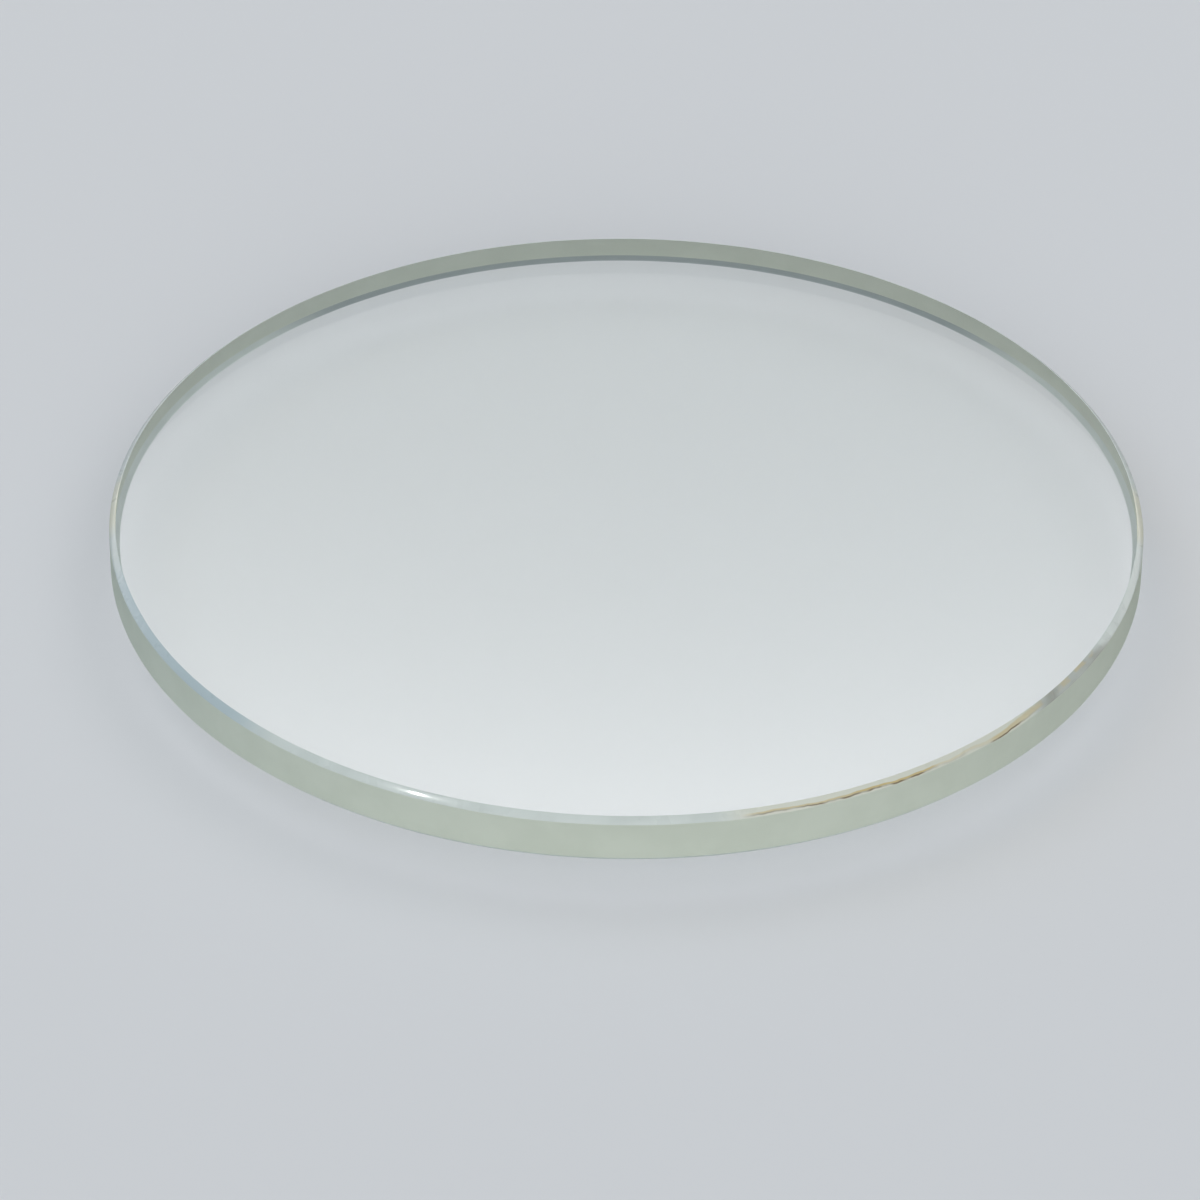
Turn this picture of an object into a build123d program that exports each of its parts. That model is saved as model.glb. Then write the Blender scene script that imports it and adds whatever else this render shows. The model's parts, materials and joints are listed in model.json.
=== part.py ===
"""Round double-domed watch crystal, one piece of mineral glass, in millimetres.

It lies on its domed outer face with the hollow inner face up, as it is laid down before fitting.
The origin is the lowest point of the dome. +Z is the crystal's axis and points out of the hollow.
"""

import math
import os

from build123d import *

# Driving sizes
crystal_diameter = 31.5
centre_thickness = 1.5
outer_face_radius = 91.5
outer_bevel = 0.15
inner_bevel = 0.18

# Both faces are ground about one centre, so the glass is equally thick from the middle to the rim
face_centre = (0, outer_face_radius)
inner_face_radius = outer_face_radius - centre_thickness

# Each face ends where its bevel takes the corner off
edge_radius = crystal_diameter / 2
outer_face_rim = edge_radius - outer_bevel
inner_face_rim = edge_radius - inner_bevel
outer_face_angle = math.degrees(math.asin(outer_face_rim / outer_face_radius))
inner_face_angle = math.degrees(math.asin(inner_face_rim / inner_face_radius))
lowest_point_angle = -90

os.makedirs("parts", exist_ok=True)

# The glass to one side of its axis, turned once round it
with BuildPart() as crystal:
    with BuildSketch(Plane.XZ):
        with BuildLine():
            outer_face = CenterArc(
                face_centre, outer_face_radius, lowest_point_angle, outer_face_angle
            )
            inner_face = CenterArc(
                face_centre, inner_face_radius, lowest_point_angle, inner_face_angle
            )
            edge_foot = (edge_radius, (outer_face @ 1).Y + outer_bevel)
            edge_top = (edge_radius, (inner_face @ 1).Y - inner_bevel)
            Polyline(outer_face @ 1, edge_foot, edge_top, inner_face @ 1)
            Line(inner_face @ 0, outer_face @ 0)
        make_face()
    revolve(axis=Axis.Z)

crystal.part.label = "crystal"
export_step(crystal.part, "parts/crystal.step")
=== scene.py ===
"""A loose double-domed watch crystal, hollow side up on a pale table. All lengths are in metres."""

import json
import math

import bmesh
import bpy
from mathutils import Matrix, Vector, noise


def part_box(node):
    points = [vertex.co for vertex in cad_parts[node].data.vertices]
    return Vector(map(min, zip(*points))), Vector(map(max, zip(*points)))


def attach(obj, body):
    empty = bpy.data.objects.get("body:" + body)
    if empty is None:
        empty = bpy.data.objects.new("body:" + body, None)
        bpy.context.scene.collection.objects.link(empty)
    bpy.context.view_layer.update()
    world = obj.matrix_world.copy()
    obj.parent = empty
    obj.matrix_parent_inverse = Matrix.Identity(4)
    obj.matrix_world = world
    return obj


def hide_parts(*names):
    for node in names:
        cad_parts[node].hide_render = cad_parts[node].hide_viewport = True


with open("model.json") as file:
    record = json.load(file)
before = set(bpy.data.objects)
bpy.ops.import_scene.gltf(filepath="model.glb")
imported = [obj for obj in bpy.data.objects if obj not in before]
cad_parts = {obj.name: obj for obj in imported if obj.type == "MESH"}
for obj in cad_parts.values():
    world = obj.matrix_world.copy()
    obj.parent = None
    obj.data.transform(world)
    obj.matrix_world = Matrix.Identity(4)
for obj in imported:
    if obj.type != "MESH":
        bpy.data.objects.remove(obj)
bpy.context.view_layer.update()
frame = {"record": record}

MM = 0.001
FULL_TURN = 2 * math.pi
QUARTER_TURN_DEGREES = 90

# The bevel under the dome, the one size that the frame doesn't give
OUTER_BEVEL_WIDTH = 0.15 * MM

# Sizes of the crystal, worked out from the frame
edge_mount = next(mount for mount in frame["record"]["mounts"] if mount["name"] == "ground_edge")
box_low, box_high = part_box("crystal")
edge_radius = min(box_high.x - box_low.x, box_high.y - box_low.y) / 2
inner_rim_height = box_high.z
edge_middle = edge_mount["pos_m"][2]
edge_length = edge_mount["dims"]["length_mm"] * MM
edge_low = edge_middle - edge_length / 2
edge_high = edge_middle + edge_length / 2
inner_rim = edge_radius - (inner_rim_height - edge_high)
outer_rim = edge_radius - OUTER_BEVEL_WIDTH
outer_rim_height = edge_low - OUTER_BEVEL_WIDTH
outer_face_radius = (outer_rim**2 + outer_rim_height**2) / (2 * outer_rim_height)
inner_face_radius = math.hypot(inner_rim, outer_face_radius - inner_rim_height)
centre_thickness = outer_face_radius - inner_face_radius

# The rings where a bevel meets a face or the ground edge, each as its radius and height
OUTER_FACE_RING = (outer_rim, outer_rim_height)
EDGE_FOOT_RING = (edge_radius, edge_low)
EDGE_TOP_RING = (edge_radius, edge_high)
INNER_FACE_RING = (inner_rim, inner_rim_height)

# How finely the glass is turned and its corners are rounded
TURN_STEPS = 720
FACE_STEPS = 18
EDGE_CUTS = 5
CORNER_ROUNDING = 0.018 * MM
CORNER_STEPS = 2
MERGE_DISTANCE = 0.0001 * MM

# How near to its ring a corner's points lie, while it is sharp and once it is rounded
SHARP_REACH = CORNER_ROUNDING / 2
ROUNDED_REACH = 1.5 * CORNER_ROUNDING

# Wear of the rims: how far the bevels' width wanders, and the nicks in one arc of the inner bevel's
# foot, which are at their deepest from the last number of their noise up
BEVEL_WANDER = 0.012 * MM
NICK_DEPTH = 0.03 * MM
NICK_ARC = (math.radians(22), math.radians(82))
NICK_ARC_FADE = math.radians(8)
DEEPEST_NICK_NOISE = 0.5

# Noise round the rim: about how many bumps it has, and its seed
INNER_WANDER = (36, 1.3)
OUTER_WANDER = (40, 8.1)
NICKS = (60, 4.7)

# The finishes, in the order of the crystal's material slots
POLISHED, INNER_BEVEL, GROUND, OUTER_BEVEL = range(4)

# A face that reaches inside this radius is polished. Of the others, one whose normal points up or down
# by less than this share is part of the ground edge.
POLISH_END = inner_rim - CORNER_ROUNDING - 2 * BEVEL_WANDER
UPRIGHT_LEAN = 0.3

# The glass itself, and the tint of its clear faces
GLASS_IOR = 1.52
CLEAR = (0.975, 0.99, 0.978)

# Each ground finish drifts between two tones, and lets a share of the light through
INNER_BEVEL_TONES = (0.59, 0.65, 0.62), (0.64, 0.70, 0.67)
OUTER_BEVEL_TONES = (0.66, 0.73, 0.69), (0.70, 0.77, 0.73)
GROUND_TONES = (0.66, 0.72, 0.62), (0.69, 0.75, 0.65)
INNER_BEVEL_THROUGH = 0.30
OUTER_BEVEL_THROUGH = 0.50
GROUND_THROUGH = 0.40

# Tones of single stretches of the bevels, and of the two lines at the inner bevel's foot. All are
# painted light: a highlight, reflections and shade.
CREAMY_HIGHLIGHT = (0.68, 0.70, 0.61)
CLEARER_PAINTED_SHADE = (0.35, 0.37, 0.33)
BLUISH_REFLECTION = (0.45, 0.55, 0.58)
YELLOWISH_REFLECTION = (0.70, 0.70, 0.55)
DARKER_PAINTED_SHADE = (0.36, 0.42, 0.42)
AMBER_REFLECTION = (0.59, 0.48, 0.22)
BROWN_REFLECTION = (0.19, 0.14, 0.07)

# Noise in the finishes, each as the size of its features, its detail and, where given, its roughness
SMUDGES = (4 * MM, 4)
BEVEL_CLOUDS = (1.1 * MM, 3)
EDGE_CLOUDS = (1.5 * MM, 4)
EDGE_GRAIN = (0.05 * MM, 3, 0.6)
INNER_HAZE = (0.5 * MM, 3)
OUTER_HAZE = (0.6 * MM, 3)
BEVEL_RIPPLE = (1.6 * MM, 1)
LINE_WAVER = (1.2 * MM, 3)
LINE_BLOTCHES = (0.9 * MM, 2)

# What a noise is eased onto between two of its values, each as the noise and the result there
CLOUD_SHARE = (0.35, 0), (0.65, 1)
POLISHED_ROUGHNESS = (0.45, 0.0), (0.75, 0.02)
INNER_BEVEL_ROUGHNESS = (0.3, 0.25), (0.7, 0.45)
OUTER_BEVEL_ROUGHNESS = (0.3, 0.30), (0.7, 0.45)
GROUND_ROUGHNESS = (0, 0.55), (1, 0.75)
CLEARER_CLOUDS = (0.4, 1), (0.6, 0.6)
LINE_WOBBLE = (0.3, -0.16), (0.7, 0.16)
AMBER_BLOTCHES = (0.50, 0), (0.58, 1)
BROWN_BLOTCHES = (0.45, 1), (0.60, 0.4)

# The wet sheen of the inner bevel, and the depth and strength of the relief in two finishes
SHEEN_ROUGHNESS = 0.09
INNER_BEVEL_RELIEF = (0.02 * MM, 0.3)
GROUND_RELIEF = (0.01 * MM, 0.35)

# Stretches of the rim, in degrees from +X towards the front: where each starts, ends, and how softly
LINE_STRETCH = (27, 75, 3)
FAINT_STRETCH = (48, 54, 2)
CREAMY_HIGHLIGHT_STRETCH = (43, 76, 5)
BLUISH_REFLECTION_STRETCH = (138, 163, 8)
PAINTED_SHADE_STRETCH = (-125, -50, 15)

# What changes round the rim, eased between two places, each as its degrees and the value there.
# Heights and widths on the inner bevel are shares of its width.
LINE_HEIGHT = (33, 0.80), (45, 0.34)
LINE_WIDTH = (40, 0.44), (54, 0.16)
LINE_WHOLE = (38, 0), (43, 1)
AMBER_GROWS = (34, 0.5), (60, 1)
AMBER_FADES = (63, 1), (67, 0.7)
BROWN_DROP = (42, 0.30), (54, 0.17)
BROWN_FADES = (68, 1), (72, 0.65)
CLEARER_STARTS = (26, 0), (31, 1)
CLEARER_ENDS = (37, 1), (41, 0)

# The yellowish painted reflection at the sides in the same way, by degrees from the front or back
SIDES = (83, 0), (87, 1)

# How much of the reflection lines' two painted colours is left, from where they are plain to faint
FAINT_AMBER = (0, 1), (1, 0.35)
FAINT_BROWN = (0, 1), (1, 0.2)

# The soft edge of both lines, from their middle at 0 to their width at 1, and the brown one's width
LINE_SOFT_EDGE = (0.35, 1), (1, 0)
BROWN_WIDTH = 0.13

# By how many degrees the clearer patch, painted shade, starts later at the bevel's top than its foot
CLEARER_SLANT = 5

# The floor, and its gap under the dome
TABLE_HALF = 3.0
TABLE_GAP = 0.002 * MM
TABLE_TONE = (0.66, 0.67, 0.68)
TABLE_ROUGHNESS = 0.6
TABLE_GLOSS = 0.25

# How bright the room is as a lamp: low down, overhead, in front and at the left. Its colours follow.
ROOM_LIGHT = 0.12
TOP_LIGHT = 1.03
FRONT_LIGHT = 3.4
LEFT_LIGHT = 0.55
ROOM_COLOUR = (0.98, 0.99, 1.0)
LEFT_COLOUR = (0.25, 0.58, 1.0)

# Where the lights in front and at the left lie, and how near to its place a direction is, with 1 the
# nearest, where each of the three lights starts
FRONT_DIRECTION = Vector((0.05, -0.90, 0.42))
LEFT_DIRECTION = Vector((-0.85, 0.25, 0.42))
TOP_START = 0.3
FRONT_START = 0.82
LEFT_START = 0.75

# How bright the room is to look at, and how much brighter its low part at the back shows in the glass,
# eased by a direction's height and by how far back it points
ROOM_LOOK = 0.9
GLOW_BY_HEIGHT = (0.2, 1.0), (0.8, 0)
GLOW_BY_DEPTH = (0.2, 0), (0.6, 1)

# The highlight's place on the inner bevel, as an angle from +X towards the front, and its lamp
HIGHLIGHT_ANGLE = math.radians(113)
HIGHLIGHT_DIRECTION = Vector((-0.519, -0.397, 0.757))
HIGHLIGHT_DISTANCE = 0.05
HIGHLIGHT_LAMP = (1.2 * MM, 7 * MM)
HIGHLIGHT_ROLL = math.radians(23)
HIGHLIGHT_BEAM = math.radians(11)
HIGHLIGHT_RADIANCE = 300

# The camera, as the photograph was taken. Its sensor is in millimetres.
FRAME_PIXELS = 1200
FOCAL_PIXELS = 6522
SENSOR_WIDTH = 36
CAMERA_CLIP = (0.01, 10)
CAMERA_ELEVATION = math.radians(34.671)
CAMERA_DISTANCE_IN_RADII = 12.686
CAMERA_PAN = math.radians(0.2236)
CAMERA_TILT = math.radians(-0.4433)
CAMERA_ROLL = math.radians(0.5913)


def smooth_step(low, high, value):
    """0 below low, 1 above high and an even curve between."""
    share = min(max((value - low) / (high - low), 0.0), 1.0)
    return share * share * (3 - 2 * share)


def add_object(name, bm):
    """A finished shape, as an object in the scene."""
    mesh = bpy.data.meshes.new(name)
    bm.to_mesh(mesh)
    bm.free()
    made = bpy.data.objects.new(name, mesh)
    bpy.context.scene.collection.objects.link(made)
    return made


def face_arc(bm, middle_height, face_radius, rim):
    """One polished face's curve, from the axis out to its rim. Returns the rim's point."""
    middle = bm.verts.new((0, 0, middle_height))
    made = bmesh.ops.spin(
        bm,
        geom=[middle],
        cent=(0, 0, outer_face_radius),
        axis=(0, -1, 0),
        angle=math.asin(rim / face_radius),
        steps=FACE_STEPS,
    )
    return next(item for item in made["geom_last"] if isinstance(item, bmesh.types.BMVert))


def half_section(bm):
    """The glass outline to one side of its axis: face, bevel, ground edge, bevel, face."""
    outer_end = face_arc(bm, 0, outer_face_radius, outer_rim)
    inner_end = face_arc(bm, centre_thickness, inner_face_radius, inner_rim)
    edge_foot = bm.verts.new((edge_radius, 0, edge_low))
    edge_top = bm.verts.new((edge_radius, 0, edge_high))
    bm.edges.new((outer_end, edge_foot))
    edge_line = bm.edges.new((edge_foot, edge_top))
    bm.edges.new((edge_top, inner_end))
    bmesh.ops.subdivide_edges(bm, edges=[edge_line], cuts=EDGE_CUTS)


def radius_of(vert):
    """How far a point is from the crystal's axis."""
    return math.hypot(vert.co.x, vert.co.y)


def is_on(ring, vert, reach):
    """Whether a point lies on a ring, or within that reach of it."""
    radius, height = ring
    return abs(radius_of(vert) - radius) < reach and abs(vert.co.z - height) < reach


def corner_edges(bm):
    """The edges of the four rings where a bevel meets a face or the ground edge."""
    rings = (OUTER_FACE_RING, EDGE_FOOT_RING, EDGE_TOP_RING, INNER_FACE_RING)
    return [
        edge
        for edge in bm.edges
        if any(all(is_on(ring, vert, SHARP_REACH) for vert in edge.verts) for ring in rings)
    ]


def ring_noise(angle, bumps, seed):
    """Even noise from -1 to 1 round the rim, with about that many bumps and no seam."""
    ring = bumps / FULL_TURN
    return noise.noise(Vector((ring * math.cos(angle), ring * math.sin(angle), seed)))


def nick(angle):
    """How deep the inner bevel's foot is nicked at an angle from +X towards the front, from 0 to 1."""
    low, high = NICK_ARC
    begun = smooth_step(low - NICK_ARC_FADE, low, angle)
    over = smooth_step(high, high + NICK_ARC_FADE, angle)
    return begun * (1 - over) * smooth_step(0, DEEPEST_NICK_NOISE, ring_noise(angle, *NICKS))


def wear_rims(bm):
    """The bevels were ground by hand: their width wanders, and nicks bite into the inner one's foot."""
    for vert in bm.verts:
        angle = math.atan2(-vert.co.y, vert.co.x)
        inner_wander = BEVEL_WANDER * abs(ring_noise(angle, *INNER_WANDER))
        if is_on(EDGE_TOP_RING, vert, ROUNDED_REACH):
            vert.co.z -= inner_wander + NICK_DEPTH * nick(angle)
        elif is_on(EDGE_FOOT_RING, vert, ROUNDED_REACH):
            vert.co.z += BEVEL_WANDER * abs(ring_noise(angle, *OUTER_WANDER))
        elif is_on(INNER_FACE_RING, vert, ROUNDED_REACH):
            # This rim slides inwards along the polished face, and so down it
            shrink = 1 - inner_wander / radius_of(vert)
            vert.co.x *= shrink
            vert.co.y *= shrink
            vert.co.z -= inner_wander * inner_rim / inner_face_radius


def finish_of(face):
    """Which of the four finishes a face has: polished inside the rims, and ground on them."""
    if any(radius_of(vert) < POLISH_END for vert in face.verts):
        return POLISHED
    if abs(face.normal.z) < UPRIGHT_LEAN:
        return GROUND
    return INNER_BEVEL if face.normal.z > 0 else OUTER_BEVEL


def crystal_glass():
    """The whole crystal, turned about its axis, with rounded corners and worn rims."""
    bm = bmesh.new()
    half_section(bm)
    bmesh.ops.spin(
        bm,
        geom=bm.verts[:] + bm.edges[:],
        cent=(0, 0, 0),
        axis=(0, 0, 1),
        angle=FULL_TURN,
        steps=TURN_STEPS,
        use_merge=True,
    )
    bmesh.ops.remove_doubles(bm, verts=bm.verts[:], dist=MERGE_DISTANCE)
    bmesh.ops.recalc_face_normals(bm, faces=bm.faces[:])
    bmesh.ops.bevel(
        bm,
        geom=corner_edges(bm),
        offset=CORNER_ROUNDING,
        segments=CORNER_STEPS,
        profile=0.5,
        affect="EDGES",
        material=-1,
    )
    wear_rims(bm)
    bm.normal_update()
    for face in bm.faces:
        face.smooth = True
        face.material_index = finish_of(face)
    # The glass looks smooth all over but stays crisp where two finishes meet
    for edge in bm.edges:
        edge.smooth = len({face.material_index for face in edge.link_faces}) == 1
    return add_object("crystal_glass", bm)


def new_material(name):
    """A material with its node tree, its Principled node and its Object coordinates."""
    material = bpy.data.materials.new(name)
    material.use_nodes = True
    tree = material.node_tree
    shader = tree.nodes["Principled BSDF"]
    place = tree.nodes.new("ShaderNodeTexCoord").outputs["Object"]
    return material, tree, shader, place


def noise_at(tree, place, size, detail, roughness=0.5):
    """Noise with features of about that size in metres."""
    texture = tree.nodes.new("ShaderNodeTexNoise")
    texture.inputs["Scale"].default_value = 1 / size
    texture.inputs["Detail"].default_value = detail
    texture.inputs["Roughness"].default_value = roughness
    tree.links.new(place, texture.inputs["Vector"])
    return texture.outputs["Fac"]


def eased(tree, value, start, end):
    """A smooth change from one result to another. Start and end are each a value and its result."""
    node = tree.nodes.new("ShaderNodeMapRange")
    node.interpolation_type = "SMOOTHSTEP"
    node.inputs["From Min"].default_value, node.inputs["To Min"].default_value = start
    node.inputs["From Max"].default_value, node.inputs["To Max"].default_value = end
    tree.links.new(value, node.inputs["Value"])
    return node.outputs["Result"]


def two_tones(tree, share, first, second):
    """A colour between two, by a share from 0 to 1. The first may come from another node."""
    node = tree.nodes.new("ShaderNodeMix")
    node.data_type = "RGBA"
    # The node has sockets for plain numbers and vectors too, and these are the ones for colours
    share_socket, first_socket, second_socket = node.inputs[0], node.inputs[6], node.inputs[7]
    mixed = node.outputs[2]
    tree.links.new(share, share_socket)
    if isinstance(first, tuple):
        first_socket.default_value = (*first, 1)
    else:
        tree.links.new(first, first_socket)
    second_socket.default_value = (*second, 1)
    return mixed


def relief(tree, shader, height, depth, strength):
    """A bump of that depth in metres on the shader's normal."""
    bump = tree.nodes.new("ShaderNodeBump")
    bump.inputs["Strength"].default_value = strength
    bump.inputs["Distance"].default_value = depth
    tree.links.new(height, bump.inputs["Height"])
    tree.links.new(bump.outputs["Normal"], shader.inputs["Normal"])


def worked(tree, operation, first, second=None):
    """One sum on two values, either of which may be a plain number."""
    node = tree.nodes.new("ShaderNodeMath")
    node.operation = operation
    for socket, value in zip(node.inputs, (first, second)):
        if isinstance(value, (int, float)):
            socket.default_value = value
        elif value is not None:
            tree.links.new(value, socket)
    return node.outputs[0]


def product(tree, first, *others):
    """All the values multiplied."""
    for other in others:
        first = worked(tree, "MULTIPLY", first, other)
    return first


def rim_place(tree, place):
    """The angle in degrees from +X towards the front, and the height in metres."""
    split = tree.nodes.new("ShaderNodeSeparateXYZ")
    tree.links.new(place, split.inputs[0])
    to_front = worked(tree, "MULTIPLY", split.outputs["Y"], -1)
    angle = worked(tree, "ARCTAN2", to_front, split.outputs["X"])
    return worked(tree, "DEGREES", angle), split.outputs["Z"]


def within(tree, angle, low, high, fade):
    """1 between two angles in degrees and 0 outside them, with soft ends."""
    risen = eased(tree, angle, (low - fade, 0), (low, 1))
    fallen = eased(tree, angle, (high, 1), (high + fade, 0))
    return product(tree, risen, fallen)


def frosted(tree, shader, tone, through_share):
    """Frosted glass of one tone, which scatters light back and lets that share of it through."""
    tree.links.new(tone, shader.inputs["Base Color"])
    through = tree.nodes.new("ShaderNodeBsdfTranslucent")
    tree.links.new(tone, through.inputs["Color"])
    both = tree.nodes.new("ShaderNodeMixShader")
    both.inputs[0].default_value = through_share
    tree.links.new(shader.outputs["BSDF"], both.inputs[1])
    tree.links.new(through.outputs["BSDF"], both.inputs[2])
    tree.links.new(both.outputs["Shader"], tree.nodes["Material Output"].inputs["Surface"])


def polished_glass():
    """The two clear faces: water-clear with the faintest green, and a touch of uneven polish."""
    material, tree, shader, place = new_material("polished_glass")
    shader.inputs["IOR"].default_value = GLASS_IOR
    shader.inputs["Transmission Weight"].default_value = 1.0
    shader.inputs["Base Color"].default_value = (*CLEAR, 1)
    smudges = noise_at(tree, place, *SMUDGES)
    tree.links.new(eased(tree, smudges, *POLISHED_ROUGHNESS), shader.inputs["Roughness"])
    return material


def across_bevel(tree, height):
    """How far up the inner bevel a place is, 0 at its foot and 1 at its top."""
    above_foot = worked(tree, "SUBTRACT", height, edge_high)
    return worked(tree, "DIVIDE", above_foot, inner_rim_height - edge_high)


def line_across(tree, across, middle, width):
    """1 in the middle of a line along the bevel, and 0 from that width away."""
    away = worked(tree, "ABSOLUTE", worked(tree, "SUBTRACT", across, middle))
    return eased(tree, worked(tree, "DIVIDE", away, width), *LINE_SOFT_EDGE)


def painted_reflection_lines(tree, place):
    """How much of the inner bevel's amber line shows, and of the brown one under it, from 0 to 1.

    They run along the bevel's foot at the right front, fade, widen, and climb to its top in blotches.
    Both are painted reflections, the amber one warm and the brown one dark.
    """
    angle, height = rim_place(tree, place)
    across = across_bevel(tree, height)
    wobble = eased(tree, noise_at(tree, place, *LINE_WAVER), *LINE_WOBBLE)
    middle = worked(tree, "ADD", eased(tree, angle, *LINE_HEIGHT), wobble)
    brown_middle = worked(tree, "SUBTRACT", middle, eased(tree, angle, *BROWN_DROP))
    blotches = noise_at(tree, place, *LINE_BLOTCHES)
    whole = eased(tree, angle, *LINE_WHOLE)
    faint = within(tree, angle, *FAINT_STRETCH)
    stretch = within(tree, angle, *LINE_STRETCH)
    amber = product(
        tree,
        line_across(tree, across, middle, eased(tree, angle, *LINE_WIDTH)),
        worked(tree, "MAXIMUM", eased(tree, blotches, *AMBER_BLOTCHES), whole),
        eased(tree, angle, *AMBER_GROWS),
        eased(tree, angle, *AMBER_FADES),
        eased(tree, faint, *FAINT_AMBER),
        stretch,
    )
    brown = product(
        tree,
        line_across(tree, across, brown_middle, BROWN_WIDTH),
        eased(tree, blotches, *BROWN_BLOTCHES),
        eased(tree, angle, *BROWN_FADES),
        eased(tree, faint, *FAINT_BROWN),
        whole,
        stretch,
    )
    return amber, brown


def clearer_painted_shade(tree, angle, height, clouds):
    """How much clearer the inner bevel is where the amber line breaks up, from 0 to 1.

    The patch starts along a slant across the bevel. Its darker grey is painted shade.
    """
    below_top = worked(tree, "SUBTRACT", 1, across_bevel(tree, height))
    slanted = worked(tree, "ADD", angle, worked(tree, "MULTIPLY", below_top, CLEARER_SLANT))
    return product(
        tree,
        eased(tree, slanted, *CLEARER_STARTS),
        eased(tree, angle, *CLEARER_ENDS),
        eased(tree, clouds, *CLEARER_CLOUDS),
    )


def at_sides(tree, angle):
    """1 at the crystal's left and right side, and 0 elsewhere round the rim."""
    from_front_or_back = worked(tree, "SUBTRACT", worked(tree, "ABSOLUTE", angle), QUARTER_TURN_DEGREES)
    return eased(tree, worked(tree, "ABSOLUTE", from_front_or_back), *SIDES)


def satin_bevel():
    """The inner bevel: finely ground, then half polished by hand, so pale, with a wet sheen.

    Painted light tints it: a creamy highlight over the amber line, a bluish reflection at the left
    front, a yellowish one at both sides, and darker shade where that line breaks up and the bevel
    is clearer.
    """
    material, tree, shader, place = new_material("satin_bevel")
    shader.inputs["IOR"].default_value = GLASS_IOR
    shader.inputs["Coat Weight"].default_value = 1.0
    shader.inputs["Coat Roughness"].default_value = SHEEN_ROUGHNESS
    shader.inputs["Coat IOR"].default_value = GLASS_IOR
    angle, height = rim_place(tree, place)
    clouds = noise_at(tree, place, *BEVEL_CLOUDS)
    amber, brown = painted_reflection_lines(tree, place)
    tone = two_tones(tree, eased(tree, clouds, *CLOUD_SHARE), *INNER_BEVEL_TONES)
    # Painted highlight: creamier over the amber line
    tone = two_tones(tree, within(tree, angle, *CREAMY_HIGHLIGHT_STRETCH), tone, CREAMY_HIGHLIGHT)
    # Painted shade: darker grey where the bevel is clearer
    tone = two_tones(tree, clearer_painted_shade(tree, angle, height, clouds), tone, CLEARER_PAINTED_SHADE)
    # Painted reflection: bluish at the left front
    tone = two_tones(tree, within(tree, angle, *BLUISH_REFLECTION_STRETCH), tone, BLUISH_REFLECTION)
    # Painted reflection: yellowish at both sides
    tone = two_tones(tree, at_sides(tree, angle), tone, YELLOWISH_REFLECTION)
    # Painted reflections: the warm amber line and the dark brown one under it
    tone = two_tones(tree, amber, tone, AMBER_REFLECTION)
    tone = two_tones(tree, brown, tone, BROWN_REFLECTION)
    frosted(tree, shader, tone, INNER_BEVEL_THROUGH)
    haze = noise_at(tree, place, *INNER_HAZE)
    tree.links.new(eased(tree, haze, *INNER_BEVEL_ROUGHNESS), shader.inputs["Roughness"])
    relief(tree, shader, noise_at(tree, place, *BEVEL_RIPPLE), *INNER_BEVEL_RELIEF)
    return material


def ground_edge():
    """The matt cylinder between the bevels: pale grey-green, finely ground, and lit through."""
    material, tree, shader, place = new_material("ground_edge")
    shader.inputs["IOR"].default_value = GLASS_IOR
    clouds = noise_at(tree, place, *EDGE_CLOUDS)
    tone = two_tones(tree, eased(tree, clouds, *CLOUD_SHARE), *GROUND_TONES)
    frosted(tree, shader, tone, GROUND_THROUGH)
    grain = noise_at(tree, place, *EDGE_GRAIN)
    tree.links.new(eased(tree, grain, *GROUND_ROUGHNESS), shader.inputs["Roughness"])
    relief(tree, shader, grain, *GROUND_RELIEF)
    return material


def outer_bevel():
    """The bevel under the dome: ground like the edge, smoother, with painted shade across the back."""
    material, tree, shader, place = new_material("outer_bevel")
    shader.inputs["IOR"].default_value = GLASS_IOR
    angle, _ = rim_place(tree, place)
    clouds = noise_at(tree, place, *BEVEL_CLOUDS)
    tone = two_tones(tree, eased(tree, clouds, *CLOUD_SHARE), *OUTER_BEVEL_TONES)
    # Painted shade: darker across the back
    tone = two_tones(tree, within(tree, angle, *PAINTED_SHADE_STRETCH), tone, DARKER_PAINTED_SHADE)
    frosted(tree, shader, tone, OUTER_BEVEL_THROUGH)
    haze = noise_at(tree, place, *OUTER_HAZE)
    tree.links.new(eased(tree, haze, *OUTER_BEVEL_ROUGHNESS), shader.inputs["Roughness"])
    return material


def table():
    """The plain pale floor, just under the dome's lowest point."""
    bm = bmesh.new()
    under_dome = Matrix.Translation((0, 0, -TABLE_GAP))
    bmesh.ops.create_grid(bm, x_segments=1, y_segments=1, size=TABLE_HALF, matrix=under_dome)
    floor = add_object("table", bm)
    material, _, shader, _ = new_material("table_top")
    shader.inputs["Base Color"].default_value = (*TABLE_TONE, 1)
    shader.inputs["Roughness"].default_value = TABLE_ROUGHNESS
    shader.inputs["Specular IOR Level"].default_value = TABLE_GLOSS
    floor.data.materials.append(material)
    return floor


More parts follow.
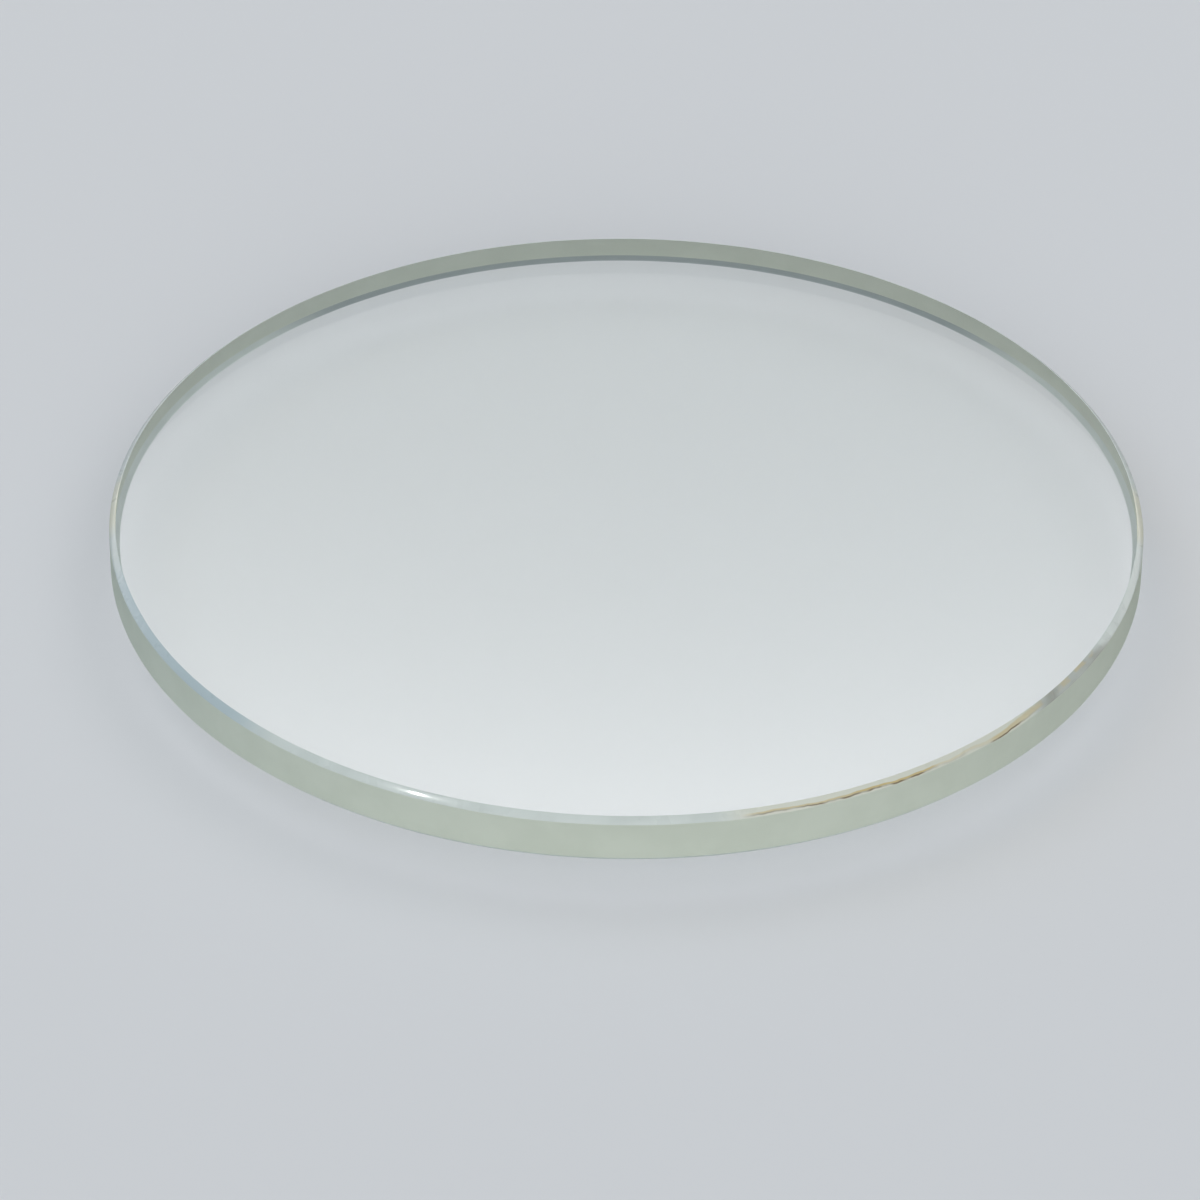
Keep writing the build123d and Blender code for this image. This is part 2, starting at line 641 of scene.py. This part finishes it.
def highlight_lamp():
    """A small lamp close to the inner bevel at the left front, which only that spot mirrors.

    Its beam is narrow, so that the polished faces don't mirror it in other views. Blender brightens a
    lamp as its beam narrows, and the energy takes that back.
    """
    radius = (inner_rim + edge_radius) / 2
    height = (edge_high + inner_rim_height) / 2
    spot = Vector((radius * math.cos(HIGHLIGHT_ANGLE), -radius * math.sin(HIGHLIGHT_ANGLE), height))
    half_beam = HIGHLIGHT_BEAM / 2
    light = bpy.data.lights.new("highlight_lamp", "AREA")
    light.shape = "RECTANGLE"
    light.size, light.size_y = HIGHLIGHT_LAMP
    light.spread = HIGHLIGHT_BEAM
    light.energy = HIGHLIGHT_RADIANCE * math.pi * light.size * light.size_y
    light.energy *= 1 - half_beam / math.tan(half_beam)
    lamp = bpy.data.objects.new("highlight_lamp", light)
    towards = HIGHLIGHT_DIRECTION.normalized()
    lamp.location = spot + towards * HIGHLIGHT_DISTANCE
    facing = (-towards).to_track_quat("-Z", "Y").to_matrix()
    lamp.rotation_euler = (facing @ Matrix.Rotation(HIGHLIGHT_ROLL, 3, "Z")).to_euler()
    lamp.visible_camera = False
    lamp.visible_diffuse = False
    lamp.visible_transmission = False
    bpy.context.scene.collection.objects.link(lamp)


def nearness(tree, direction, place):
    """How nearly a direction points at a place, 1 where it does."""
    compared = tree.nodes.new("ShaderNodeVectorMath")
    compared.operation = "DOT_PRODUCT"
    tree.links.new(direction, compared.inputs[0])
    compared.inputs[1].default_value = place.normalized()
    return compared.outputs["Value"]


def shine(tree, background, colour, strength):
    """One colour of the room's light, as bright as another node says."""
    background.inputs["Color"].default_value = (*colour, 1)
    tree.links.new(strength, background.inputs["Strength"])
    return background.outputs["Background"]


def room():
    """A pale room, nearly white to look at, that lights the crystal softly from above and in front.

    Weak bluish light comes from the left. The low part of the room at the back is brighter where the
    glass mirrors it, as a pale wall would be.
    """
    world = bpy.data.worlds.new("room")
    world.use_nodes = True
    tree = world.node_tree
    path = tree.nodes.new("ShaderNodeLightPath")
    direction = tree.nodes.new("ShaderNodeTexCoord").outputs["Generated"]
    split = tree.nodes.new("ShaderNodeSeparateXYZ")
    tree.links.new(direction, split.inputs[0])

    # What is seen of the room, straight or in the glass, before the light meets anything matt
    straight = eased(tree, path.outputs["Diffuse Depth"], (0, 1), (1, 0))
    mirrored = path.outputs["Is Glossy Ray"]
    looked_at = worked(tree, "MAXIMUM", path.outputs["Is Camera Ray"], mirrored)
    looked_at = worked(tree, "MAXIMUM", looked_at, path.outputs["Is Transmission Ray"])
    looked_at = product(tree, looked_at, straight)
    low = eased(tree, split.outputs["Z"], *GLOW_BY_HEIGHT)
    at_back = eased(tree, split.outputs["Y"], *GLOW_BY_DEPTH)
    glow = product(tree, low, at_back, mirrored, straight)
    look = worked(tree, "ADD", product(tree, looked_at, ROOM_LOOK), glow)

    # The light that the room gives where it isn't seen
    unseen = worked(tree, "SUBTRACT", 1, looked_at)
    above = eased(tree, split.outputs["Z"], (TOP_START, ROOM_LIGHT), (1, TOP_LIGHT))
    to_front = nearness(tree, direction, FRONT_DIRECTION)
    in_front = eased(tree, to_front, (FRONT_START, 0), (1, FRONT_LIGHT))
    light = product(tree, worked(tree, "ADD", above, in_front), unseen)
    to_left = nearness(tree, direction, LEFT_DIRECTION)
    at_left = product(tree, eased(tree, to_left, (LEFT_START, 0), (1, LEFT_LIGHT)), unseen)

    plain = shine(tree, tree.nodes["Background"], ROOM_COLOUR, worked(tree, "ADD", light, look))
    bluish = shine(tree, tree.nodes.new("ShaderNodeBackground"), LEFT_COLOUR, at_left)
    both = tree.nodes.new("ShaderNodeAddShader")
    tree.links.new(plain, both.inputs[0])
    tree.links.new(bluish, both.inputs[1])
    tree.links.new(both.outputs["Shader"], tree.nodes["World Output"].inputs["Surface"])
    bpy.context.scene.world = world


def camera():
    """The camera, which faces the centre of the outer rim but for a small pan, tilt and roll."""
    lens = bpy.data.cameras.new("camera")
    lens.sensor_width = SENSOR_WIDTH
    lens.lens = FOCAL_PIXELS / FRAME_PIXELS * SENSOR_WIDTH
    lens.clip_start, lens.clip_end = CAMERA_CLIP
    looking_down = Matrix.Rotation(math.pi / 2 - CAMERA_ELEVATION, 4, "X")
    turned = looking_down @ Matrix.Rotation(CAMERA_PAN, 4, "Y")
    turned @= Matrix.Rotation(CAMERA_TILT, 4, "X")
    turned @= Matrix.Rotation(CAMERA_ROLL, 4, "Z")
    away = looking_down @ Vector((0, 0, CAMERA_DISTANCE_IN_RADII * edge_radius))
    made = bpy.data.objects.new("camera", lens)
    made.matrix_world = Matrix.Translation(away + Vector((0, 0, outer_rim_height))) @ turned
    bpy.context.scene.collection.objects.link(made)
    bpy.context.scene.camera = made


bpy.context.scene.view_settings.view_transform = "Standard"
# Without this the light that passes through clear glass is filtered, and the inside renders too dark
bpy.context.scene.cycles.blur_glossy = 0

glass = crystal_glass()
for finish in (polished_glass(), satin_bevel(), ground_edge(), outer_bevel()):
    glass.data.materials.append(finish)
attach(glass, "root")
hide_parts("crystal")
table()
room()
highlight_lamp()
camera()
